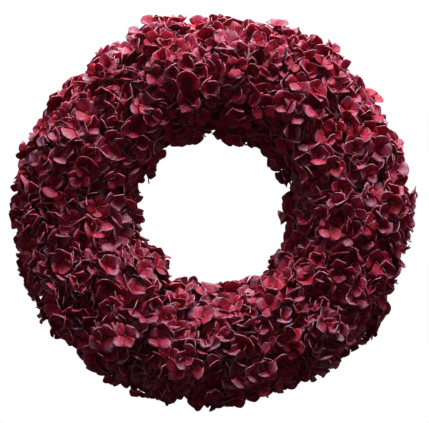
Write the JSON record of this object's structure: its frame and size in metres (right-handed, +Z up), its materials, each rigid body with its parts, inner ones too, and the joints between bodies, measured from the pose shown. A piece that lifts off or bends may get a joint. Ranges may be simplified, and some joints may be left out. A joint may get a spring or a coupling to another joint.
{
  "type": "door wreath",
  "caption": "Round hanging door wreath of dense hydrangea flower clusters on a mossed foam ring in a moulded tray, with a folding D-ring hanger.",
  "frame": {"origin": "the point on the door where a nail or hook carries the inside top of the D-ring, in the door's plane", "axes": "+Z up, -Y out of the front of the wreath towards the viewer, +X to the viewer's right; the door is Y = 0"},
  "size_m": [0.5, 0.13, 0.5],
  "materials": {
    "petals": "polyester cloth petals, burgundy to rose, fine grain and faint veins, paler thin rims, matt with a soft sheen",
    "stem": "plastic-coated wire, brownish green, matt",
    "moss": "dried sheet moss, olive brown, fibrous",
    "floral_foam": "dry floral foam, green, fine open cells",
    "tray_plastic": "moulded polypropylene, dark green, fine matt texture",
    "pin_wire": "drawn steel wire",
    "plated_steel": "zinc-plated steel strip, faint brushing",
    "ring_wire": "zinc-plated round wire, smooth",
    "rivet_metal": "bare aluminium, set with a round punch"
  },
  "bodies": {
    "wreath": {"backing_tray": "tray_plastic", "foam_ring": "floral_foam", "moss_cover": "moss", "moss_pins": "pin_wire", "stems_outer": "stem", "stems_front": "stem", "stems_inner": "stem", "hanger_strap": "plated_steel", "hanger_rivets": "rivet_metal", "hanger_backing_plate": "plated_steel", "cluster_outer_01": "petals", "cluster_outer_02": "petals", "cluster_outer_03": "petals", "cluster_outer_04": "petals", "cluster_outer_05": "petals", "cluster_outer_06": "petals", "cluster_outer_07": "petals", "cluster_outer_08": "petals", "cluster_outer_09": "petals", "cluster_outer_10": "petals", "cluster_outer_11": "petals", "cluster_outer_12": "petals", "cluster_outer_13": "petals", "cluster_outer_14": "petals", "cluster_outer_15": "petals", "cluster_outer_16": "petals", "cluster_outer_17": "petals", "cluster_outer_18": "petals", "cluster_outer_19": "petals", "cluster_outer_20": "petals", "cluster_front_01": "petals", "cluster_front_02": "petals", "cluster_front_03": "petals", "cluster_front_04": "petals", "cluster_front_05": "petals", "cluster_front_06": "petals", "cluster_front_07": "petals", "cluster_front_08": "petals", "cluster_front_09": "petals", "cluster_front_10": "petals", "cluster_front_11": "petals", "cluster_front_12": "petals", "cluster_front_13": "petals", "cluster_front_14": "petals", "cluster_inner_01": "petals", "cluster_inner_02": "petals", "cluster_inner_03": "petals", "cluster_inner_04": "petals", "cluster_inner_05": "petals", "cluster_inner_06": "petals", "cluster_inner_07": "petals", "cluster_inner_08": "petals", "cluster_inner_09": "petals", "cluster_inner_10": "petals"},
    "hanger": {"hanger_d_ring": "ring_wire"}
  },
  "joints": [
    {"name": "hanger_fold", "type": "hinge", "parent": "wreath", "child": "hanger", "pos_m": [0, -0.00345, -0.0215], "axis": [-1, 0, 0], "range_deg": [0, 170]}
  ]
}
